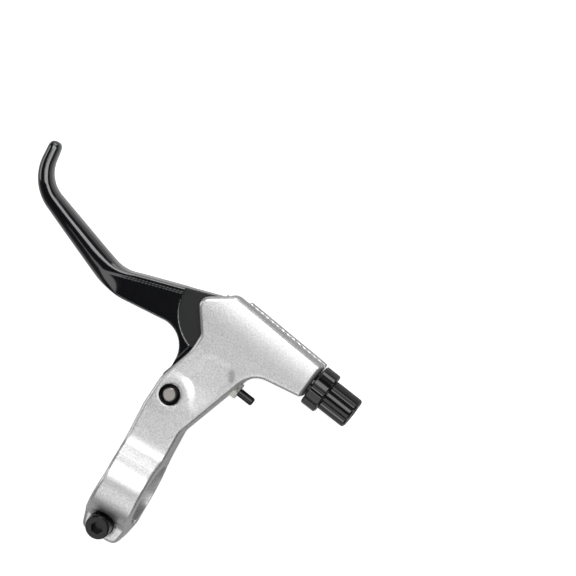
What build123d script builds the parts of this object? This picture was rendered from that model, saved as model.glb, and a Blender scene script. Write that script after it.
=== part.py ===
from build123d import *
import os
from math import cos, radians, sin

# A brake lever for a flat handlebar, left hand, for linear-pull rim brakes.
# Millimetres. The origin is the centre of the handlebar clamp's bore.
# +X runs along the handlebar towards the stem, +Y forwards, +Z out of the top face.

# Handlebar clamp
BAR_R = 11.1
CLAMP_R = 14.3
CLAMP_TILT = 12  # degrees, how far the split leans down towards the back
SPLIT = 2.4
LUG_END = 20.3  # distance of the lugs' end from the bore's centre
LUG_TOP = 7.7  # seat of the clamp bolt's washer, above the split's middle
LUG_BOTTOM = -8.6
BOLT_OFFSET = 14.1  # distance of the clamp bolt from the bore's centre
BOLT_X = -1.4
BOLT_R = 2.5
BOLT_HEAD_R = 4.25
BOLT_HEAD = 5.0
BOLT_LENGTH = 16.0
BOLT_SOCKET = 4.0  # across flats
BOLT_SOCKET_DEPTH = 2.6
WASHER_R = 4.6
WASHER = 0.9
WASHER_ROOM = 0.2  # between the washer and the edge of its recess

# Body. Half lengths and half widths are from the middle plane, z = 0
WALL_TOP = 7.6  # half the housing's thickness
ARM_TOP = 6.8  # half the arm's thickness
GAP = 4.5  # half the gap between the two walls
CABLE_SLOT = 2.6
REACH = 60  # longer than any cut needs to be
CHANNEL = 0.6  # depth of the recess in the arm's faces
CABLE_WAY = 8.2  # width of the window that the cable's end goes in by

# Blade and its pivot
PIVOT = (-1.8, 34.8)
PIN_R = 2.5
PIN_TOP = 8.1
PIN_BOTTOM = -7.9
PIN_HEAD_R = 4.0
PIN_HEAD = 1.3
BOSS_R = 7.3
BOSS_TOP = 7.4
CHEEK = 3.9  # half the blade's thickness between the walls
PLATE = 4.8  # half its thickness outside them
RIM = 5.2
HUB_R = 6.4
HUB_ROOM = 1.1  # between the hub and the end of the body's slot
THRUST_R = 6.3
BUSH_R = 3.5
RUNNING = 0.03  # radial clearance of a shaft that turns
SPRING_R = 4.15
SPRING_WIRE = 0.4
SPRING_POCKET_R = 4.85
SPRING_POCKET_TOP = -0.3
SPRING_LOW = -3.4
SPRING_PITCH = 0.9
SPRING_TURNS = 2.75
SPRING_LEG_LOW = 2.0  # length of the leg in the body
SPRING_LEG_HIGH = 1.6  # length of the leg in the blade
PIVOT_RING_R = 3.7
PIVOT_RING_LOW = 6.9
RING_GROOVE = (2.9, 3.3)  # inner and outer radius of the groove in the pivot ring's face

# Cable line, reach screw and the pieces on them
CABLE_ANGLE = -8.5  # degrees from +X
HOUSING_END = (38.25, 61.25)  # where the cable line leaves the housing
ANCHOR = (2.0, 66.67)
CARRIER_R = 4.3
CARRIER_TOP = 2.7
NIPPLE_R = 3.6
THREAD_R = 4.5
NECK_R = 3.9
FERRULE_R = 3.1
CABLE_R = 1.6
KNURL_KNOB = (0.25, 1.15, 6)  # groove's centre outside the rim, its radius, how many
KNURL_RING = (0.45, 1.25, 8)
BARREL_SLOT = 2.2
SEAT_RING = 0.9
SEAT_R = 2.7
RING_R = 7.5
KNOB_R = 5.6
RING_START, RING_END = 0.35, 5.95
KNOB_START, KNOB_END = 6.1, 16.9
STEM_START = -9.0
SEAT_DEPTH = 6.9  # floor of the seat ring's pocket
FERRULE_DEPTH = 7.9  # where the bore for the ferrule ends
SCREW_FACE = (17.6, 46.24)  # outer face of the reach screw's nut
SCREW_R = 1.45
SCREW_HOLE_R = 1.5
SCREW_OUT = 5.9
SCREW_IN = -9.5
NUT_FLATS = 5.5
NUT = 2.4
SCREW_SOCKET = 1.5  # across flats
SCREW_SOCKET_DEPTH = 1.8

# Plan outlines: corners as (x, y, corner radius)
BODY_PLAN = [
    (-7.2, -20.8, 3.5), (5.6, -21.0, 3.5), (7.7, -12, 6), (7.7, 25, 6),
    (19.4, 54.4, 8), (37.2, 55.6, 1), (39.15, 68.6, 1), (2.1, 75.2, 4),
    (-9.5, 68.5, 3.5), (-2.7, 57.6, 2), (-3.1, 51.5, 12), (-7.8, 38.4, 4),
    (-8.7, 28, 12), (-8.1, 2, 20), (-9.2, -13, 6),
]
POCKET_PLAN = [
    (-22, 29, 0), (-4, 28.2, 0), (3.9, 29.5, 3), (11.9, 50, 3),
    (14.6, 58.3, 2), (28.0, 58.3, 1), (29.3, 68.1, 1), (0.2, 73.3, 0),
    (-0.6, 80, 0), (-22, 80, 0),
]
CHANNEL_PLAN = [
    (8.4, 32.0, 2), (14.6, 49.0, 2.5), (12.5, 53.0, 2.5), (3.0, 53.0, 2.5), (-0.4, 41.0, 2),
]
BLADE_PLAN = [
    (-39.2, 54.2, 25), (-6.3, 56.0, 9.5), (-6.4, 43.0, 4), (-8.2, 38.5, 2), (-1.8, 34.8, 0),
    (4.0, 38.0, 2), (7.1, 44.3, 0.8), (8.7, 51.1, 1.5), (7.6, 64.0, 3), (6.2, 71.0, 3),
    (-3.9, 71.5, 2), (-37.1, 63.1, 14), (-74.6, 77.1, 11), (-75.9, 89.9, 2.1),
    (-80.3, 90.2, 2.1), (-79.8, 73.2, 17),
]
THICK_PLAN = [
    (-43.0, 50.0, 0), (-14.0, 50.0, 0), (-9.5, 39.4, 0), (-7.9, 39.4, 0),
    (-4.0, 51.3, 0), (-3.6, 54.0, 0), (-8.6, 66.5, 0), (-8.6, 76.0, 0), (-43.0, 76.0, 0),
]
CHEEK_CENTRE = (2.0, 67.7)  # the cheek's step is an arc about this point
CHEEK_R = 16.7

# Finger bar: half its thickness, from the side, as (x, z, corner radius)
FINGER_SIDE = [
    (-90, 3.2, 0), (-76, 4.2, 10), (-62, 5.5, 10), (-37, 5.5, 0),
    (-37, -5.5, 0), (-62, -5.5, 10), (-76, -4.2, 10), (-90, -3.2, 0),
]
FINGER_EDGE = 2.2

os.makedirs("parts", exist_ok=True)


def corner_line(corners):
    """A closed line from corners given as (x, y, radius)."""
    points = [(x, y) for x, y, _ in corners]
    return FilletPolyline(*points, radius=[r for _, _, r in corners], close=True)


def plan(corners, low, high):
    """A prism on the XY plane from corners with radii, between two heights."""
    return Pos(0, 0, low) * extrude(make_face(corner_line(corners)), high - low)


def rod(place, radius, start, end):
    """A cylinder along a plane's normal, between two distances from it."""
    align = (Align.CENTER, Align.CENTER, Align.MIN)
    return place * Pos(0, 0, start) * Cylinder(radius, end - start, align=align)


def tube(place, outer, inner, start, end):
    return rod(place, outer, start, end) - rod(place, inner, start - 1, end + 1)


def hexagon(place, across_flats, start, end):
    """A hexagonal prism along a plane's normal."""
    face = RegularPolygon(across_flats / 2, 6, major_radius=False)
    return place * Pos(0, 0, start) * extrude(face, end - start)


def save(name, shape):
    shape.label = name
    export_step(shape, f"parts/{name}.step")


pivot = Plane((*PIVOT, 0))
anchor = Plane((*ANCHOR, 0))
along_cable = (cos(radians(CABLE_ANGLE)), sin(radians(CABLE_ANGLE)), 0)
barrel = Plane((*HOUSING_END, 0), x_dir=(0, 0, 1), z_dir=along_cable)
screw = Plane((*SCREW_FACE, 0), x_dir=(0, 0, 1), z_dir=along_cable)
# The clamp's plane is its split: its normal is the clamp bolt's direction
along_bolt = (0, -sin(radians(CLAMP_TILT)), cos(radians(CLAMP_TILT)))
clamp = Plane((0, 0, 0), x_dir=(1, 0, 0), z_dir=along_bolt)
bolt_axis = Axis((0, 0, 0), along_bolt)
bolt = Plane(clamp.from_local_coords((BOLT_X, -BOLT_OFFSET, 0)), x_dir=(1, 0, 0), z_dir=along_bolt)


def slotted(shape):
    """Cuts the cable slot into a shape on the barrel, on its front side."""
    return shape - barrel * Pos(0, -10, 0) * Box(BARREL_SLOT, 20, 60)


def grooved(shape, rim_r, knurl):
    """Cuts even grooves along a shape on the barrel, one of them at the cable slot."""
    outside, groove_r, count = knurl
    for turn in range(count):
        place = barrel * Rot(0, 0, 360 * turn / count) * Pos(0, -rim_r - outside, 0)
        shape -= rod(place, groove_r, -30, 30)
    return shape


def clamp_profile():
    """The body's outline as seen along the handlebar."""
    arm = [
        (10.1, 10.1, 0), (13.4, ARM_TOP, 4), (45, ARM_TOP, 12), (54, WALL_TOP, 12),
        (80, WALL_TOP, 0), (80, -WALL_TOP, 0), (54, -WALL_TOP, 12), (45, -ARM_TOP, 12),
        (13.4, -ARM_TOP, 4), (10.1, -10.1, 0),
    ]
    lugs = Box(REACH, LUG_END - 8, LUG_TOP - LUG_BOTTOM)
    lugs = fillet(lugs.edges().filter_by(Axis.X).sort_by(Axis.Y)[:2], 2.5)
    lugs = clamp * Pos(0, -LUG_END / 2 - 4, (LUG_TOP + LUG_BOTTOM) / 2) * lugs
    ring = extrude(Plane.YZ * Circle(CLAMP_R), REACH, both=True)
    return ring + extrude(Plane.YZ * make_face(corner_line(arm)), REACH, both=True) + lugs


def bracket_body():
    body = plan(BODY_PLAN, -20, 20) & clamp_profile()
    body += rod(pivot, BOSS_R, -BOSS_TOP, BOSS_TOP)
    for low, high in ((ARM_TOP - CHANNEL, 12), (-12, -ARM_TOP + CHANNEL)):
        body -= plan(CHANNEL_PLAN, low, high) - rod(pivot, BOSS_R + 0.6, -20, 20)
    # Handlebar clamp
    body -= rod(Plane.YZ, BAR_R, -20, 20)
    body -= clamp * Pos(0, -LUG_END / 2 - 5, 0) * Box(40, LUG_END, SPLIT)
    body -= rod(bolt, BOLT_R + 0.2, 0, 20) + rod(bolt, WASHER_R + WASHER_ROOM, LUG_TOP, 20)
    body -= rod(bolt, BOLT_R, -20, 0)
    # Room for the blade, and the way in for the cable
    body -= plan(POCKET_PLAN, -GAP, GAP) + rod(pivot, HUB_R + HUB_ROOM, -GAP, GAP)
    body -= rod(barrel, THREAD_R, -12, 5)
    body -= barrel * Pos(0, -10, -20) * Box(CABLE_SLOT, 20, 60)
    body -= rod(anchor, CABLE_WAY / 2, -10, 0)
    body -= anchor * Pos(0, 5, -5) * Box(CABLE_WAY, 10, 10)
    # Pivot, reach screw and the spring's fixed leg
    body -= rod(pivot, PIN_R, -20, 20) + rod(pivot, PIVOT_RING_R + 0.15, PIVOT_RING_LOW, 20)
    body -= rod(screw, SCREW_HOLE_R, -9, 5)
    body -= hexagon(screw, NUT_FLATS, -NUT, 5)
    body -= rod(pivot * Pos(SPRING_R, 0, 0), SPRING_WIRE + 0.2, -6.2, 0)
    return body


def clamp_bolt():
    seat = LUG_TOP + WASHER
    head = rod(bolt, BOLT_HEAD_R, seat, seat + BOLT_HEAD)
    head = chamfer(head.edges().filter_by(GeomType.CIRCLE).sort_by(bolt_axis)[-1], 0.5)
    socket = hexagon(bolt, BOLT_SOCKET, seat + BOLT_HEAD - BOLT_SOCKET_DEPTH, seat + BOLT_HEAD + 1)
    return head + rod(bolt, BOLT_R, seat - BOLT_LENGTH, seat) - socket


def clamp_washer():
    return tube(bolt, WASHER_R, BOLT_R + 0.1, LUG_TOP, LUG_TOP + WASHER)


def finger_bar():
    """The bar that the fingers pull, which narrows and hooks forwards at its tip."""
    side = corner_line(FINGER_SIDE)
    bar = plan(BLADE_PLAN, -9, 9) & extrude(Plane.XZ * make_face(side), -120)
    edges = [e for e in bar.edges() if abs(e.center().Z) > 3 and e.center().X < -37.5]
    return fillet(edges, FINGER_EDGE)


def lever_blade():
    blade = plan(BLADE_PLAN, -CHEEK, CHEEK) + rod(pivot, HUB_R, -CHEEK, CHEEK)
    thick = plan(BLADE_PLAN, -PLATE, PLATE) & plan(THICK_PLAN, -PLATE, PLATE)
    thick -= rod(Plane((*CHEEK_CENTRE, 0)), CHEEK_R, -20, 20) + rod(pivot, 8.6, -20, 20)
    rim = plan(BLADE_PLAN, -RIM, RIM) - Pos(0.4, -1.7, 0) * plan(BLADE_PLAN, -20, 20)
    rim &= Pos(-24, 70, 0) * Box(30, 16, 20)
    blade += thick + rim + finger_bar()
    blade -= rod(pivot, BUSH_R, -20, 20) + rod(pivot, SPRING_POCKET_R, -20, SPRING_POCKET_TOP)
    blade -= rod(pivot * Pos(0, -SPRING_R, 0), SPRING_WIRE + 0.15, SPRING_POCKET_TOP - 1, 1.4)
    blade -= rod(anchor, CARRIER_R + RUNNING, -20, CARRIER_TOP + 0.2)
    sweep_low = CABLE_ANGLE - 50
    far = 20
    wedge = [
        (ANCHOR[0] - 0.5, ANCHOR[1] + 1.2, 0),
        (ANCHOR[0] + far, ANCHOR[1] + 1.2 + far * sin(radians(CABLE_ANGLE)), 0),
        (ANCHOR[0] + far * cos(radians(sweep_low)), ANCHOR[1] + far * sin(radians(sweep_low)), 0),
        (ANCHOR[0] - 1.0, ANCHOR[1] - 0.8, 0),
    ]
    return blade - plan(wedge, -20, 1.3)


def pivot_pin():
    pin = rod(pivot, PIN_R, PIN_BOTTOM, PIN_TOP)
    pin = chamfer(pin.edges().filter_by(GeomType.CIRCLE).sort_by(Axis.Z)[-1], 0.5)
    head = rod(pivot, PIN_HEAD_R, -BOSS_TOP - PIN_HEAD, -BOSS_TOP)
    return pin + chamfer(head.edges().filter_by(GeomType.CIRCLE).sort_by(Axis.Z)[0], 0.4)


def pivot_ring():
    ring = tube(pivot, PIVOT_RING_R, PIN_R, PIVOT_RING_LOW, PIN_TOP - 0.3)
    return ring - tube(pivot, RING_GROOVE[1], RING_GROOVE[0], PIN_TOP - 0.6, PIN_TOP)


def return_spring():
    coil = Helix(pitch=SPRING_PITCH, height=SPRING_PITCH * SPRING_TURNS, radius=SPRING_R)
    wire = sweep(Plane(coil @ 0, z_dir=coil % 0) * Circle(SPRING_WIRE), path=coil, is_frenet=True)
    top = SPRING_PITCH * SPRING_TURNS
    ends = ((coil @ 0, -SPRING_LEG_LOW, 0), (coil @ 1, top, top + SPRING_LEG_HIGH))
    for point, low, high in ends:
        wire += rod(Plane((point.X, point.Y, 0)), SPRING_WIRE, low, high)
        wire += Pos(*point) * Sphere(SPRING_WIRE)
    return Pos(*PIVOT, SPRING_LOW) * wire


def nipple_carrier():
    carrier = rod(anchor, CARRIER_R, -CHEEK + 0.1, CARRIER_TOP)
    carrier -= rod(anchor, NIPPLE_R, -20, CARRIER_TOP - 0.8)
    slot = Plane((*ANCHOR, 0), x_dir=along_cable) * Pos(5, 0, -5) * Box(10, BARREL_SLOT, 12.2)
    return carrier - slot


def reach_screw():
    body = rod(screw, SCREW_R, SCREW_IN, SCREW_OUT)
    body = chamfer(body.edges().filter_by(GeomType.CIRCLE), 0.4)
    return body - hexagon(screw, SCREW_SOCKET, SCREW_OUT - SCREW_SOCKET_DEPTH, SCREW_OUT + 1)


def reach_nut():
    return hexagon(screw, NUT_FLATS - 0.1, -NUT, 0) - rod(screw, SCREW_HOLE_R, -20, 20)


def adjuster_stem():
    stem = rod(barrel, THREAD_R - 0.05, STEM_START, KNOB_START) + rod(barrel, NECK_R, 0, KNOB_END - 0.4)
    stem -= rod(barrel, CABLE_R, -30, 30) + rod(barrel, SEAT_R, SEAT_DEPTH, 30)
    stem -= rod(barrel, FERRULE_R, FERRULE_DEPTH, 30)
    return slotted(stem)


def adjuster_knob():
    knob = rod(barrel, KNOB_R, KNOB_START, KNOB_END)
    knob = fillet(knob.edges().filter_by(GeomType.CIRCLE).sort_by(Axis.X)[-1], 1.0)
    knob -= rod(barrel, NECK_R, -30, KNOB_END - 0.4) + rod(barrel, FERRULE_R, -30, 30)
    return slotted(grooved(knob, KNOB_R, KNURL_KNOB))


def lock_ring():
    ring = tube(barrel, RING_R, THREAD_R, RING_START, RING_END)
    ring = chamfer(ring.edges().filter_by(GeomType.CIRCLE).filter_by(lambda e: e.radius > 7), 0.5)
    return slotted(grooved(ring, RING_R, KNURL_RING))


def ferrule_seat():
    low = SEAT_DEPTH + 0.05
    return tube(barrel, SEAT_R - RUNNING, CABLE_R - 0.2, low, low + SEAT_RING)


for part in (
    bracket_body, clamp_bolt, clamp_washer, lever_blade, pivot_pin, pivot_ring, return_spring,
    nipple_carrier, reach_screw, reach_nut, adjuster_stem, adjuster_knob, lock_ring, ferrule_seat,
):
    save(part.__name__, part())
save("blade_bush", tube(pivot, BUSH_R, PIN_R + RUNNING, -CHEEK, CHEEK))
save("thrust_washer_upper", tube(pivot, THRUST_R, PIN_R + 0.15, CHEEK + 0.04, GAP - 0.04))
save("thrust_washer_lower", tube(pivot, THRUST_R, SPRING_POCKET_R, -GAP + 0.04, -CHEEK - 0.04))
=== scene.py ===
from math import cos, pi, radians, sin, tan

import bpy
import numpy as np
from mathutils import Matrix, Vector


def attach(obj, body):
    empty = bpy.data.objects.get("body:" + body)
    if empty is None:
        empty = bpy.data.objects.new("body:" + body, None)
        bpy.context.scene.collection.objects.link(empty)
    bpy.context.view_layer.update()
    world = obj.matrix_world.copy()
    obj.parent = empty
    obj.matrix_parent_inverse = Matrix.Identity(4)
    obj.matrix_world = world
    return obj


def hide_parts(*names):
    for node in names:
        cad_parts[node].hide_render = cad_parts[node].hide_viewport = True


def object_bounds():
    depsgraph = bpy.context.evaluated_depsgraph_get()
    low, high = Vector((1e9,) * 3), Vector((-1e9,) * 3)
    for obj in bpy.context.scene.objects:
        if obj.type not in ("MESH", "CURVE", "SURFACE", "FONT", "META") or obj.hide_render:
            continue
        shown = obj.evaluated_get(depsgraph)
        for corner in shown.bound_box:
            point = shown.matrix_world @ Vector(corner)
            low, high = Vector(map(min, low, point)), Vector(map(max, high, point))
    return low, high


# Looks for a mountain bike's brake lever. The cast body, the blade and the barrel's two
# knurled pieces are meshes made from distance functions; the other pieces are the CAD nodes.
# Lengths in the shapes are millimetres in the row frame, and MM turns them into metres.
MM = 0.001

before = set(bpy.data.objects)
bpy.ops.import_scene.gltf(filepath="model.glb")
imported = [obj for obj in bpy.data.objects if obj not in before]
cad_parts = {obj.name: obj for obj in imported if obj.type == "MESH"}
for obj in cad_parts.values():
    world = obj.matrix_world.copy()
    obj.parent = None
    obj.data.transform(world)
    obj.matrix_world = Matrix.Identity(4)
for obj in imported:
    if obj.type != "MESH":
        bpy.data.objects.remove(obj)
cad_low, cad_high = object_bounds()


# ---- Distance functions -------------------------------------------------------------------

def unit(vector):
    return vector / max(np.linalg.norm(vector), 1e-9)


def rounded_corner(before, corner, after):
    """Start, end, centre, radius, outward direction and half turn of a corner's arc."""
    at = np.array(corner[:2], float)
    back = unit(np.array(before[:2], float) - at)
    ahead = unit(np.array(after[:2], float) - at)
    half = np.arccos(np.clip(back @ ahead, -1, 1)) / 2
    inward = unit(back + ahead)
    reach = corner[2] / tan(half)
    centre = at + inward * corner[2] / sin(half)
    return at + back * reach, at + ahead * reach, centre, corner[2], -inward, pi / 2 - half


def outline(corners, u, v):
    """Signed distance from a closed outline with corners (u, v, radius): negative inside."""
    count = len(corners)
    arcs = [
        rounded_corner(corners[i - 1], corners[i], corners[(i + 1) % count])
        for i in range(count)
    ]
    near = np.full(np.broadcast(u, v).shape, 1e9)
    inside = np.zeros(near.shape, bool)
    for i, (start, end, centre, radius, out, half_turn) in enumerate(arcs):
        following = arcs[(i + 1) % count][0]
        for a, b in ((start, end), (end, following)):
            if a[1] != b[1]:
                crosses = (v >= a[1]) != (v >= b[1])
                inside ^= crosses & (u < a[0] + (v - a[1]) * (b[0] - a[0]) / (b[1] - a[1]))
        side = following - end
        length = np.linalg.norm(side)
        side = side / max(length, 1e-9)
        along = np.clip((u - end[0]) * side[0] + (v - end[1]) * side[1], 0, length)
        gap = np.hypot(u - end[0] - along * side[0], v - end[1] - along * side[1])
        near = np.minimum(near, gap)
        if radius:
            distance = np.hypot(u - centre[0], v - centre[1])
            forward = (u - centre[0]) * out[0] + (v - centre[1]) * out[1]
            on_arc = forward > distance * cos(half_turn)
            near = np.where(on_arc, np.minimum(near, abs(distance - radius)), near)
            inside ^= (distance < radius) & (forward > radius * cos(half_turn))
    return np.where(inside, -near, near)


def round_max(a, b, r):
    """Where both shapes are, with the edge between them rounded to a radius."""
    return np.minimum(np.maximum(a, b), -r) + np.hypot(np.maximum(a + r, 0), np.maximum(b + r, 0))


def round_min(a, b, r):
    """Either shape, with a fillet in the corner between them."""
    return np.maximum(np.minimum(a, b), r) - np.hypot(np.maximum(r - a, 0), np.maximum(r - b, 0))


def cut(shape, *tools, edge=0.2):
    """A shape without the tools, with a slightly broken edge."""
    for tool in tools:
        shape = round_max(shape, -tool, edge)
    return shape


def step(low, high, value):
    """0 below low, 1 above high, and a smooth rise between them."""
    t = np.clip((value - low) / (high - low), 0, 1)
    return t * t * (3 - 2 * t)


def soft_max(a, b, width):
    return (a + b + np.sqrt((a - b) ** 2 + width**2)) / 2


def hexagon(u, v, apothem):
    """A hexagon with two of its flats across v."""
    slant = cos(pi / 6)
    return np.maximum(abs(v), abs(u) * slant + abs(v) / 2) - apothem


def contour(shape, low, high, cell):
    """Corners and quads of the surface where shape(x, y, z) is zero, with its edges kept sharp."""
    axes = [np.arange(a, b + cell, cell) for a, b in zip(low, high)]
    value = shape(*np.meshgrid(*axes, indexing="ij", sparse=True))
    spans = np.array(value.shape)
    origin = np.array(low, float)
    cells, points, facing_up = [], [], []
    for axis in range(3):
        first = np.take(value, range(spans[axis] - 1), axis)
        second = np.take(value, range(1, spans[axis]), axis)
        found = np.argwhere((first < 0) != (second < 0))
        a = first[tuple(found.T)]
        b = second[tuple(found.T)]
        reach = np.zeros((len(found), 3))
        share = a / (a - b)
        reach[:, axis] = share
        there = shape(*(origin + (found + reach) * cell).T)
        below = (there < 0) == (a < 0)
        start, end = np.where(below, share, 0), np.where(below, 1, share)
        a, b = np.where(below, there, a), np.where(below, b, there)
        reach[:, axis] = start + (end - start) * a / np.where(a == b, 1, a - b)
        points.append(origin + (found + reach) * cell)
        facing_up.append(first[tuple(found.T)] < 0)
        u, v = np.eye(3, dtype=int)[[(axis + 1) % 3, (axis + 2) % 3]]
        ring = np.stack([found - u - v, found - v, found, found - u], 1)
        cells.append(np.ravel_multi_index(tuple(np.moveaxis(ring, 2, 0)), tuple(spans)))
    points, cells, facing_up = map(np.concatenate, (points, cells, facing_up))
    nudge = 0.02 * cell
    normals = np.stack([
        shape(*(points + nudge * axis).T) - shape(*(points - nudge * axis).T)
        for axis in np.eye(3)
    ], 1)
    normals /= np.maximum(np.linalg.norm(normals, axis=1), 1e-9)[:, None]
    used, quads = np.unique(cells, return_inverse=True)
    quads = quads.reshape(-1, 4)
    spread = np.repeat(np.arange(len(points)), 4)
    member = quads.ravel()

    def total(values):
        return np.bincount(member, values[spread], len(used))

    share = np.maximum(total(np.ones(len(points))), 1)
    middle = np.stack([total(points[:, k]) for k in range(3)], 1) / share[:, None]
    squares = np.empty((len(used), 3, 3))
    for row in range(3):
        for column in range(3):
            squares[:, row, column] = total(normals[:, row] * normals[:, column])
    level = np.einsum("ij,ij->i", normals, points)
    pull = np.stack([total(normals[:, k] * level) for k in range(3)], 1)
    pull -= np.einsum("ijk,ik->ij", squares, middle)
    moved = np.linalg.solve(squares + 0.06 * np.eye(3), pull[..., None])[..., 0]
    corner = origin + np.stack(np.unravel_index(used, tuple(spans)), 1) * cell
    placed = np.clip(middle + moved, corner, corner + cell)
    return placed, np.where(facing_up[:, None], quads, quads[:, ::-1])


def piece(name, body, shape, low, high, cell, materials, node=None):
    """A mesh of a distance function that rides on a body and stands for a CAD node."""
    points, quads = contour(shape, np.array(low) - 2 * cell, np.array(high) + 2 * cell, cell)
    mesh = bpy.data.meshes.new(name)
    mesh.from_pydata((points * MM).tolist(), [], quads.tolist())
    mesh.polygons.foreach_set("use_smooth", np.ones(len(quads), bool))
    mesh.set_sharp_from_angle(angle=radians(34))
    for material in materials:
        mesh.materials.append(material)
    made = bpy.data.objects.new(name, mesh)
    bpy.context.scene.collection.objects.link(made)
    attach(made, body)
    if node:
        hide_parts(node)
    return made


# ---- Sizes, as in the CAD source -----------------------------------------------------------

BAR_R = 11.1
CLAMP_R = 14.3
CLAMP_TILT = radians(12)
SPLIT = 2.4
LUG_END = 20.3
LUG_TOP = 7.7
LUG_BOTTOM = -8.6
BOLT_OFFSET = 14.1
BOLT_X = -1.4
BOLT_R = 2.5
WASHER_R = 4.6
ARM_TOP = 6.8
GAP = 4.5
PIVOT = (-1.8, 34.8)
PIN_R = 2.5
PIVOT_RING_R = 3.7
PIVOT_RING_LOW = 6.9
HUB_R = 6.4
BUSH_R = 3.5
SPRING_R = 4.15
SPRING_POCKET_R = 4.85
CABLE_ANGLE = radians(-8.5)
HOUSING_END = (38.25, 61.25)
ANCHOR = (2.0, 66.67)
CARRIER_R = 4.33
NIPPLE_R = 3.6
THREAD_R = 4.5
NECK_R = 3.9
FERRULE_R = 3.1
CABLE_SLOT = 2.6
SCREW_FACE = (17.6, 46.24)
SCREW_R = 1.5
NUT_APOTHEM = 2.75
CHEEK = 3.9  # half thickness of the blade between the body's walls
PLATE = 4.6  # half thickness of the blade's flat part
HUB_STEP_R = 8.6
CARRIER_TOP = 2.9
KNOB_R = 5.6
KNOB_START = 6.1
KNOB_END = 16.9
RING_R = 7.5
RING_START = 0.35
RING_END = 5.95
BARREL_SLOT = 2.4

BODY_PLAN = [
    (-7.2, -20.8, 3.5), (5.6, -21.0, 3.5), (7.7, -12, 6), (7.7, 25, 6),
    (19.4, 54.4, 8), (37.2, 55.6, 1), (39.15, 68.6, 1), (2.1, 75.2, 4),
    (-9.5, 68.5, 3.5), (-2.7, 57.6, 2), (-3.1, 51.5, 12), (-7.8, 38.4, 4),
    (-8.7, 28, 12), (-8.1, 2, 20), (-9.2, -13, 6),
]
POCKET_PLAN = [
    (-22, 29, 0), (-4, 28.2, 0), (3.9, 29.5, 3), (11.9, 50, 3),
    (14.6, 58.3, 2), (28.0, 58.3, 1), (29.3, 68.1, 1), (0.2, 73.3, 0),
    (-0.6, 80, 0), (-22, 80, 0),
]
CHANNEL_PLAN = [
    (8.4, 32.0, 2), (14.6, 49.0, 2.5), (12.5, 53.0, 2.5), (3.0, 53.0, 2.5), (-0.4, 41.0, 2),
]
BLADE_PLAN = [
    (-39.2, 54.2, 25), (-6.3, 56.0, 9.5), (-6.4, 43.0, 4), (-8.2, 38.5, 2), (-1.8, 34.8, 0),
    (4.0, 38.0, 2), (7.1, 44.3, 0.8), (8.7, 51.1, 1.5), (7.6, 64.0, 3), (6.2, 71.0, 3),
    (-3.9, 71.5, 2), (-37.1, 63.1, 14), (-74.6, 77.1, 11), (-75.9, 89.9, 2.1),
    (-80.3, 90.2, 2.1), (-79.8, 73.2, 17),
]
THICK_PLAN = [
    (-43.0, 50.0, 0), (-14.0, 50.0, 0), (-9.5, 39.4, 0), (-7.9, 39.4, 0),
    (-4.0, 51.3, 0), (-3.6, 54.0, 0), (-8.6, 66.5, 0), (-8.6, 76.0, 0), (-43.0, 76.0, 0),
]
CHEEK_CENTRE = (2.0, 67.7)
CHEEK_R = 16.7


def from_pivot(x, y):
    return np.hypot(x - PIVOT[0], y - PIVOT[1])


def cable_frame(x, y, place=HOUSING_END):
    """Distance along the cable line, and across it towards the front."""
    dx, dy = x - place[0], y - place[1]
    along = dx * cos(CABLE_ANGLE) + dy * sin(CABLE_ANGLE)
    return along, dy * cos(CABLE_ANGLE) - dx * sin(CABLE_ANGLE)


# ---- Cast body -----------------------------------------------------------------------------

EDGE = 1.3  # radius of the casting's outer edges
DRAFT = 0.035
VAULT_TOP = 8.0
VAULT_FALL = 0.009
BOSS_TOP = 7.0
CHANNEL = 0.4  # depth of the recess between the pivot and the housing
ARM_START = 9.9
RAMP = 20.2  # the slope from the clamp down to the arm is where y + height is this


def face_height(x, y):
    """Height of the casting's face above its middle plane."""
    height = soft_max(RAMP - y, ARM_TOP + 0 * x, 2.0)
    _, across = cable_frame(x, y)
    height = soft_max(height, VAULT_TOP - VAULT_FALL * (across - 0.5) ** 2, 0.5)
    recess = step(-1.3, 1.7, -outline(CHANNEL_PLAN, x, y)) * step(30, 44, y)
    height = height - CHANNEL * recess
    boss = 1 - step(5.4, 8.8, from_pivot(x, y))
    return height + (BOSS_TOP - height) * boss


def clamp_side(x, y, z):
    """The clamp ring and its two lugs, as they are seen along the handlebar."""
    forward = y * cos(CLAMP_TILT) + z * sin(CLAMP_TILT)
    up = z * cos(CLAMP_TILT) - y * sin(CLAMP_TILT)
    lug = round_max(np.maximum(up - LUG_TOP, LUG_BOTTOM - up), -LUG_END - forward, 2.5)
    return round_min(np.hypot(y, z) - CLAMP_R, np.maximum(lug, forward + 6), 1.5), forward, up


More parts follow.
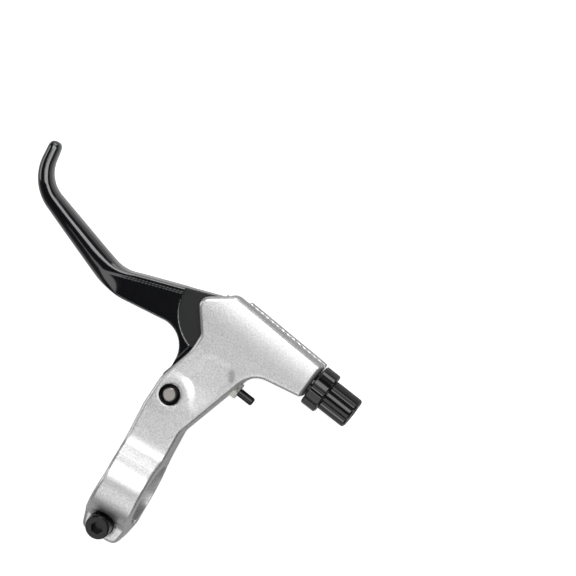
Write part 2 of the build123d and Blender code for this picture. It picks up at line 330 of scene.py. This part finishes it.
def body_shape(x, y, z):
    height = abs(z)
    clamp, forward, up = clamp_side(x, y, z)
    arm = np.maximum(height - face_height(x, y), ARM_START - y)
    side = np.minimum(arm, clamp)
    shape = round_max(outline(BODY_PLAN, x, y) + DRAFT * height, side, EDGE)
    # Handlebar bore, split and clamp bolt
    from_bolt = np.hypot(x - BOLT_X, forward + BOLT_OFFSET)
    shape = cut(
        shape,
        np.hypot(y, z) - BAR_R,
        np.maximum(abs(up) - SPLIT / 2, forward + 5),
        np.maximum(from_bolt - BOLT_R - 0.2, -up),
        np.maximum(from_bolt - BOLT_R, up),
        np.maximum(from_bolt - WASHER_R - 0.2, LUG_TOP - up),
        edge=0.3,
    )
    # Room for the blade, the cable's way in, and the barrel's thread
    along, across = cable_frame(x, y)
    pocket = np.minimum(outline(POCKET_PLAN, x, y), from_pivot(x, y) - HUB_R - 1.1)
    way = np.maximum(np.maximum(abs(x - ANCHOR[0]) - NIPPLE_R - 0.5, ANCHOR[1] - y), z)
    shape = cut(
        shape,
        np.maximum(pocket, height - GAP),
        np.maximum(np.hypot(across, z) - THREAD_R, -12 - along),
        np.maximum(height - CABLE_SLOT / 2, -across),
        np.maximum(way, -10 - z),
        np.maximum(np.hypot(x - ANCHOR[0], y - ANCHOR[1]) - NIPPLE_R - 0.5, z),
        edge=0.25,
    )
    # Pivot pin, its ring, the reach screw with its nut, and the spring's hole
    in_screw, off_screw = cable_frame(x, y, SCREW_FACE)
    leg = np.hypot(x - PIVOT[0] - SPRING_R, y - PIVOT[1]) - 0.6
    return cut(
        shape,
        from_pivot(x, y) - PIN_R,
        np.maximum(from_pivot(x, y) - PIVOT_RING_R - 0.15, PIVOT_RING_LOW - z),
        np.maximum(np.hypot(off_screw, z) - SCREW_R, abs(in_screw + 2) - 7),
        np.maximum(hexagon(z, off_screw, NUT_APOTHEM), abs(in_screw - 1.6) - 4),
        np.maximum(leg, np.maximum(z, -6.2 - z)),
        edge=0.15,
    )


# ---- Blade ---------------------------------------------------------------------------------

# What lies behind the finger bar's front edge, and what lies in front of its rear edge
BEHIND_FRONT = [
    (60.0, 87.7, 0), (-37.1, 63.1, 14), (-74.6, 77.1, 11), (-79.8, 128.0, 0), (-160, 128, 0),
    (-160, -60, 0), (60, -60, 0),
]
AHEAD_OF_REAR = [
    (60.0, 59.6, 0), (-39.2, 54.2, 25), (-79.8, 73.2, 17), (-81.4, 128.0, 0), (60, 128, 0),
]


def finger_shape(plan, x, y, z):
    """The round bar that the fingers pull, thinner and narrower towards its tip.

    Its crest is near the middle, and moves to the front edge where the plate begins."""
    front = -outline(BEHIND_FRONT, x, y)
    rear = -outline(AHEAD_OF_REAR, x, y)
    width = np.maximum(rear + front, 2.0)
    crest = 0.12 + 0.62 * step(-50, -32, x)
    aside = (rear - front) / width - crest
    aside = abs(aside) / np.where(aside > 0, 1 - crest, 1 + crest)
    tip = np.clip(1 + (y - 90.0) / 2.6, 0, None)
    out = np.clip(-40 - x, 0, 40)
    half_height = 5.4 - 1.3 * step(20, 40, out) - 0.075 * np.clip(y - 76, 0, 16)
    power = 2.6
    size = (aside**power + tip**power + (abs(z) / half_height) ** power) ** (1 / power)
    return (size - 1) * width / 2


def blade_shape(x, y, z):
    height = abs(z)
    plan = outline(BLADE_PLAN, x, y)
    hub = from_pivot(x, y) - HUB_R
    cheek = round_max(np.minimum(plan, hub), height - CHEEK, 0.35)
    thick = np.maximum(outline(THICK_PLAN, x, y), plan)
    arc = CHEEK_R - np.hypot(x - CHEEK_CENTRE[0], y - CHEEK_CENTRE[1])
    # Distance ahead of the plate's straight front edge, where its raised rim is
    front = ((y - 63.1) * 33.2 - (x + 37.1) * 8.4) / 34.2
    rim = 0.55 * step(-2.3, -1.5, front) * (1 - step(-11, -8, x))
    plate = round_max(thick, height - PLATE - rim, 0.6)
    plate = round_max(np.maximum(arc, HUB_STEP_R - from_pivot(x, y)), plate, 0.3)
    plate = np.minimum(plate, cheek)
    share = step(-44, -31, x)
    shape = share * plate + (1 - share) * finger_shape(plan, x, y, z)
    # Bush, spring pocket, the spring leg's hole, the carrier's bore and the cable's slot
    far = 20
    low = CABLE_ANGLE - radians(50)
    wedge = [
        (ANCHOR[0] - 0.5, ANCHOR[1] + 1.2, 0),
        (ANCHOR[0] + far, ANCHOR[1] + 1.2 + far * sin(CABLE_ANGLE), 0),
        (ANCHOR[0] + far * cos(low), ANCHOR[1] + far * sin(low), 0),
        (ANCHOR[0] - 1.0, ANCHOR[1] - 0.8, 0),
    ]
    # The spring stays still in the model, so its leg gets a slot as long as the blade's travel.
    # A real blade, and the CAD blade, have only a round hole here.
    angle = np.clip(np.arctan2(y - PIVOT[1], x - PIVOT[0]), radians(-132), radians(-90))
    leg_x = PIVOT[0] + SPRING_R * np.cos(angle)
    leg_y = PIVOT[1] + SPRING_R * np.sin(angle)
    leg = np.hypot(x - leg_x, y - leg_y) - 0.55
    return cut(
        shape,
        from_pivot(x, y) - BUSH_R,
        np.maximum(from_pivot(x, y) - SPRING_POCKET_R, z + 0.3),
        np.maximum(leg, z - 1.4),
        np.maximum(np.hypot(x - ANCHOR[0], y - ANCHOR[1]) - CARRIER_R, z - CARRIER_TOP),
        np.maximum(outline(wedge, x, y), z - 1.3),
        edge=0.12,
    )


# ---- Barrel adjuster -----------------------------------------------------------------------

def lobes(across, z, radius, groove_r, offset, count):
    """Signed distance of a round section with even grooves, one of them at the front."""
    angle = np.arctan2(z, across)
    period = 2 * pi / count
    angle = (angle + period / 2) % period - period / 2
    r = np.hypot(across, z)
    groove = groove_r - np.hypot(r * np.cos(angle) - radius - offset, r * np.sin(angle))
    return round_max(r - radius, groove, 0.45)


def knob_shape(x, y, z):
    along, across = cable_frame(x, y)
    side = lobes(across, z, KNOB_R, 1.15, 0.25, 6)
    shape = round_max(side, along - KNOB_END, 1.0)
    shape = round_max(shape, KNOB_START - along, 0.3)
    return cut(
        shape,
        np.maximum(np.hypot(across, z) - NECK_R, along - 16.5),
        np.hypot(across, z) - FERRULE_R,
        np.maximum(abs(z) - BARREL_SLOT / 2, -across),
        edge=0.2,
    )


def ring_shape(x, y, z):
    along, across = cable_frame(x, y)
    side = lobes(across, z, RING_R, 1.25, 0.45, 8)
    shape = round_max(round_max(side, along - RING_END, 0.5), RING_START - along, 0.5)
    return cut(
        shape,
        np.hypot(across, z) - THREAD_R,
        np.maximum(abs(z) - BARREL_SLOT / 2, -across),
        edge=0.2,
    )


# ---- Materials -----------------------------------------------------------------------------

class Finish:
    """A node material around one Principled shader."""

    def __init__(self, name, colour, roughness, metallic=0.0, **sockets):
        self.material = bpy.data.materials.new(name)
        self.material.use_nodes = True
        self.nodes = self.material.node_tree.nodes
        self.links = self.material.node_tree.links
        self.shader = self.nodes["Principled BSDF"]
        self.shader.inputs["Base Color"].default_value = (*colour, 1)
        self.shader.inputs["Roughness"].default_value = roughness
        self.shader.inputs["Metallic"].default_value = metallic
        for socket, value in sockets.items():
            self.shader.inputs[socket.replace("_", " ")].default_value = value
        self.place = self.nodes.new("ShaderNodeTexCoord").outputs["Object"]
        self.height = None

    def noise(self, size, detail=2.0, rough=0.5, stretch=None):
        """Noise whose features are about size millimetres across."""
        texture = self.nodes.new("ShaderNodeTexNoise")
        texture.inputs["Scale"].default_value = 1 / (size * MM)
        texture.inputs["Detail"].default_value = detail
        texture.inputs["Roughness"].default_value = rough
        place = self.place
        if stretch:
            mapping = self.nodes.new("ShaderNodeMapping")
            mapping.inputs["Scale"].default_value = stretch
            self.links.new(place, mapping.inputs["Vector"])
            place = mapping.outputs["Vector"]
        self.links.new(place, texture.inputs["Vector"])
        return texture.outputs["Fac"]

    def spread(self, value, low, high, start=0.3, end=0.7):
        """A value between start and end, taken to between low and high."""
        ranged = self.nodes.new("ShaderNodeMapRange")
        ranged.inputs["From Min"].default_value = start
        ranged.inputs["From Max"].default_value = end
        ranged.inputs["To Min"].default_value = low
        ranged.inputs["To Max"].default_value = high
        self.links.new(value, ranged.inputs["Value"])
        return ranged.outputs["Result"]

    def colours(self, value, dark, light, start=0.3, end=0.7):
        """Base colour from dark to light as a value goes from start to end."""
        ramp = self.nodes.new("ShaderNodeValToRGB")
        ramp.color_ramp.elements[0].position = start
        ramp.color_ramp.elements[0].color = (*dark, 1)
        ramp.color_ramp.elements[1].position = end
        ramp.color_ramp.elements[1].color = (*light, 1)
        self.links.new(value, ramp.inputs["Fac"])
        self.links.new(ramp.outputs["Color"], self.shader.inputs["Base Color"])
        return self

    def roughness(self, value, low, high):
        self.links.new(self.spread(value, low, high), self.shader.inputs["Roughness"])
        return self

    def bump(self, value, depth, strength=0.5):
        """Relief of depth millimetres, on top of any that is already there."""
        relief = self.nodes.new("ShaderNodeBump")
        relief.inputs["Strength"].default_value = strength
        relief.inputs["Distance"].default_value = depth * MM
        self.links.new(value, relief.inputs["Height"])
        if self.height:
            self.links.new(self.height, relief.inputs["Normal"])
        self.height = relief.outputs["Normal"]
        self.links.new(self.height, self.shader.inputs["Normal"])
        return self


def cast_silver():
    made = Finish("cast_silver", (0.8, 0.8, 0.79), 0.45, 1.0)
    grain = made.noise(0.42, 3, 0.65)
    made.colours(grain, (0.50, 0.50, 0.50), (0.80, 0.80, 0.795), 0.34, 0.66)
    made.roughness(made.noise(0.6, 2), 0.34, 0.46)
    made.bump(grain, 0.05, 0.5)
    return made.material


def gloss_black():
    made = Finish("gloss_black", (0.004, 0.005, 0.007), 0.16, Coat_Weight=1.0,
                  Coat_Roughness=0.08, Specular_IOR_Level=0.6)
    cloud = made.noise(3.0, 2)
    made.colours(cloud, (0.0008, 0.001, 0.0016), (0.0014, 0.0017, 0.0025))
    made.roughness(made.noise(0.5, 3), 0.11, 0.17)
    made.bump(made.noise(1.4, 2), 0.02, 0.1)
    return made.material


def cheek_black():
    made = Finish("cheek_black", (0.005, 0.005, 0.006), 0.42, Specular_IOR_Level=0.35)
    grain = made.noise(0.3, 3)
    made.colours(grain, (0.004, 0.0045, 0.005), (0.007, 0.0075, 0.008))
    made.roughness(grain, 0.36, 0.5)
    made.bump(grain, 0.02, 0.2)
    return made.material


def black_resin():
    made = Finish("black_resin", (0.002, 0.002, 0.003), 0.12, Specular_IOR_Level=0.6)
    made.colours(made.noise(1.0, 3), (0.0012, 0.0012, 0.0016), (0.0024, 0.0024, 0.003))
    made.roughness(made.noise(0.4, 3), 0.09, 0.15)
    made.bump(made.noise(0.5, 3), 0.02, 0.15)
    return made.material


def black_steel():
    made = Finish("black_steel", (0.008, 0.008, 0.009), 0.25, 0.2)
    made.colours(made.noise(0.5, 3), (0.002, 0.002, 0.0024), (0.004, 0.004, 0.0045))
    made.roughness(made.noise(0.3, 3), 0.2, 0.34)
    made.bump(made.noise(0.25, 3), 0.02, 0.2)
    return made.material


def pin_steel():
    made = Finish("pin_steel", (0.42, 0.40, 0.37), 0.35, 1.0)
    lines = made.noise(0.5, 4, 0.6, (1, 8, 1))
    made.colours(lines, (0.33, 0.31, 0.29), (0.52, 0.50, 0.47))
    made.roughness(lines, 0.28, 0.45)
    made.bump(lines, 0.02, 0.3)
    return made.material


def plated_steel():
    made = Finish("plated_steel", (0.72, 0.71, 0.67), 0.25, 1.0)
    grain = made.noise(0.35, 3)
    made.colours(grain, (0.62, 0.61, 0.57), (0.82, 0.81, 0.77))
    made.roughness(grain, 0.2, 0.35)
    made.bump(grain, 0.02, 0.2)
    return made.material


def spring_steel():
    made = Finish("spring_steel", (0.45, 0.45, 0.46), 0.28, 1.0)
    drawn = made.noise(0.3, 3, 0.6, (1, 1, 6))
    made.colours(drawn, (0.36, 0.36, 0.37), (0.55, 0.55, 0.56))
    made.roughness(drawn, 0.2, 0.36)
    return made.material


def carrier_brass():
    made = Finish("carrier_brass", (0.62, 0.46, 0.2), 0.3, 1.0)
    grain = made.noise(0.4, 3, 0.6, (1, 1, 5))
    made.colours(grain, (0.54, 0.39, 0.16), (0.70, 0.53, 0.25))
    made.roughness(grain, 0.24, 0.4)
    made.bump(grain, 0.02, 0.2)
    return made.material


def bush_bronze():
    made = Finish("bush_bronze", (0.5, 0.33, 0.18), 0.4, 1.0)
    pores = made.noise(0.2, 4, 0.7)
    made.colours(pores, (0.38, 0.24, 0.13), (0.56, 0.38, 0.21))
    made.roughness(pores, 0.34, 0.5)
    made.bump(pores, 0.02, 0.3)
    return made.material


def washer_nylon():
    made = Finish("washer_nylon", (0.72, 0.71, 0.67), 0.5, Subsurface_Weight=0.1)
    made.shader.inputs["Subsurface Scale"].default_value = 0.5 * MM
    cloud = made.noise(0.8, 3)
    made.colours(cloud, (0.66, 0.65, 0.60), (0.78, 0.77, 0.73))
    made.roughness(cloud, 0.42, 0.56)
    return made.material


def floor_white():
    """White to the camera, and a mid grey in what the lever reflects."""
    made = Finish("floor_white", (0.5, 0.5, 0.5), 0.7, Specular_IOR_Level=0.0)
    paper = made.noise(4.0, 3)
    made.colours(paper, (0.49, 0.49, 0.49), (0.51, 0.51, 0.51))
    glow = made.nodes.new("ShaderNodeMath")
    glow.operation = "MULTIPLY"
    glow.inputs[1].default_value = 0.8
    path = made.nodes.new("ShaderNodeLightPath")
    made.links.new(path.outputs["Is Camera Ray"], glow.inputs[0])
    made.links.new(glow.outputs["Value"], made.shader.inputs["Emission Strength"])
    made.shader.inputs["Emission Color"].default_value = (1, 1, 1, 1)
    return made.material


# ---- Camera, light and floor ---------------------------------------------------------------

def camera():
    """Above the lever, a little to its front right, with the picture's up turned 29 degrees."""
    data = bpy.data.cameras.new("camera")
    data.lens = 200
    made = bpy.data.objects.new("camera", data)
    bpy.context.scene.collection.objects.link(made)
    towards = Vector((0.112, 0.108, 0.988)).normalized()
    up = Vector((-0.485, 0.875, 0))
    up = (up - up.dot(towards) * towards).normalized()
    right = up.cross(towards)
    aim = Vector((15.1, 85.2, 0)) * MM
    view_width = 194.1 * MM
    distance = view_width * data.lens / data.sensor_width
    made.matrix_world = Matrix((
        (right.x, up.x, towards.x, aim.x + towards.x * distance),
        (right.y, up.y, towards.y, aim.y + towards.y * distance),
        (right.z, up.z, towards.z, aim.z + towards.z * distance),
        (0, 0, 0, 1),
    ))
    data.clip_start = 0.01
    data.clip_end = 10
    bpy.context.scene.camera = made


def softbox(name, towards, width, length, brightness):
    """A rectangular light, in metres, one metre off, that faces the middle of the lever."""
    data = bpy.data.lights.new(name, "AREA")
    data.shape = "RECTANGLE"
    data.size = width
    data.size_y = length
    data.energy = brightness * pi * width * length
    made = bpy.data.objects.new(name, data)
    bpy.context.scene.collection.objects.link(made)
    towards = Vector(towards).normalized()
    made.location = (cad_low + cad_high) / 2 + towards
    made.rotation_mode = "QUATERNION"
    made.rotation_quaternion = towards.to_track_quat("Z", "Y")
    made.visible_camera = False
    return made


def room():
    """A dim grey studio that gets darker overhead, where the camera is."""
    world = bpy.data.worlds.new("studio")
    world.use_nodes = True
    bpy.context.scene.world = world
    nodes, links = world.node_tree.nodes, world.node_tree.links
    place = nodes.new("ShaderNodeTexCoord")
    parts = nodes.new("ShaderNodeSeparateXYZ")
    ramp = nodes.new("ShaderNodeValToRGB")
    ramp.color_ramp.elements[0].position = 0.15
    ramp.color_ramp.elements[0].color = (0.14, 0.14, 0.14, 1)
    ramp.color_ramp.elements[1].position = 0.8
    ramp.color_ramp.elements[1].color = (0.04, 0.04, 0.045, 1)
    links.new(place.outputs["Generated"], parts.inputs["Vector"])
    links.new(parts.outputs["Z"], ramp.inputs["Fac"])
    links.new(ramp.outputs["Color"], nodes["Background"].inputs["Color"])
    nodes["Background"].inputs["Strength"].default_value = 1.0


def floor(material):
    """A flat round sheet just under the lever."""
    mesh = bpy.data.meshes.new("floor")
    rings, turns, reach = 12, 64, 3.0
    level = cad_low.z - 0.5 * MM
    points = [(0, 0, level)]
    for ring in range(1, rings + 1):
        r = reach * (ring / rings) ** 2
        for turn in range(turns):
            angle = 2 * pi * turn / turns
            points.append((r * cos(angle), r * sin(angle), level))
    faces = [(0, 1 + turn, 1 + (turn + 1) % turns) for turn in range(turns)]
    for ring in range(rings - 1):
        for turn in range(turns):
            a = 1 + ring * turns + turn
            b = 1 + ring * turns + (turn + 1) % turns
            faces.append((a, a + turns, b + turns, b))
    mesh.from_pydata(points, [], faces)
    mesh.materials.append(material)
    made = bpy.data.objects.new("floor", mesh)
    bpy.context.scene.collection.objects.link(made)


# ---- Assembly ------------------------------------------------------------------------------

FINISHES = {
    "clamp_bolt": black_steel, "clamp_washer": black_steel, "pivot_pin": pin_steel,
    "pivot_ring": black_resin, "reach_nut": plated_steel, "return_spring": spring_steel,
    "thrust_washer_upper": washer_nylon, "thrust_washer_lower": washer_nylon,
    "blade_bush": bush_bronze, "nipple_carrier": carrier_brass, "reach_screw": black_steel,
    "adjuster_stem": black_resin, "ferrule_seat": plated_steel,
}


def dress_cad_nodes():
    """These CAD nodes keep their shapes and take procedural materials."""
    made = {}
    for node, finish in FINISHES.items():
        if finish not in made:
            made[finish] = finish()
        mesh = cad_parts[node].data
        mesh.materials.clear()
        mesh.materials.append(made[finish])
    return made


def cheek_faces(blade):
    """The recessed cheek and hub take the second, duller black."""
    for face in blade.data.polygons:
        x, y, z = face.center / MM
        in_arc = np.hypot(x - CHEEK_CENTRE[0], y - CHEEK_CENTRE[1]) < CHEEK_R - 0.1
        if abs(z) < CHEEK + 0.05 and abs(face.normal.z) > 0.8 and in_arc:
            face.material_index = 1


camera()
room()
floor(floor_white())
softbox("top_box", (0.02, 0.36, 0.94), 1.1, 0.62, 3.6)
softbox("middle_box", (-0.27, 0.75, 0.60), 0.5, 0.5, 1.4)
softbox("low_box", (-0.23, 0.94, 0.16), 0.5, 0.42, 3.0)
softbox("left_box", (-0.93, -0.12, 0.34), 0.5, 0.5, 2.0)
softbox("back_box", (0.15, -0.66, 0.74), 1.0, 1.0, 1.25)
made = dress_cad_nodes()
fine = 1.0
silver, black, cheek = cast_silver(), gloss_black(), cheek_black()
piece("cast_body", "bracket", body_shape, (-9.8, -21.5, -14.5), (39.4, 75.5, 14.5),
      0.4 * fine, [silver], "bracket_body")
blade = piece("blade_skin", "blade", blade_shape, (-80.8, 28.2, -5.6), (9.0, 90.8, 5.6),
              0.3 * fine, [black, cheek], "lever_blade")
cheek_faces(blade)
piece("knob_skin", "barrel", knob_shape, (42.5, 51.8, -5.7), (56.2, 66.5, 5.7),
      0.17 * fine, [made[black_resin]], "adjuster_knob")
piece("lock_ring_skin", "lock_ring", ring_shape, (37.2, 52.2, -7.6), (46, 69.0, 7.6),
      0.19 * fine, [made[black_resin]], "lock_ring")

bpy.context.scene.view_settings.view_transform = "Standard"
bpy.context.scene.view_settings.look = "None"
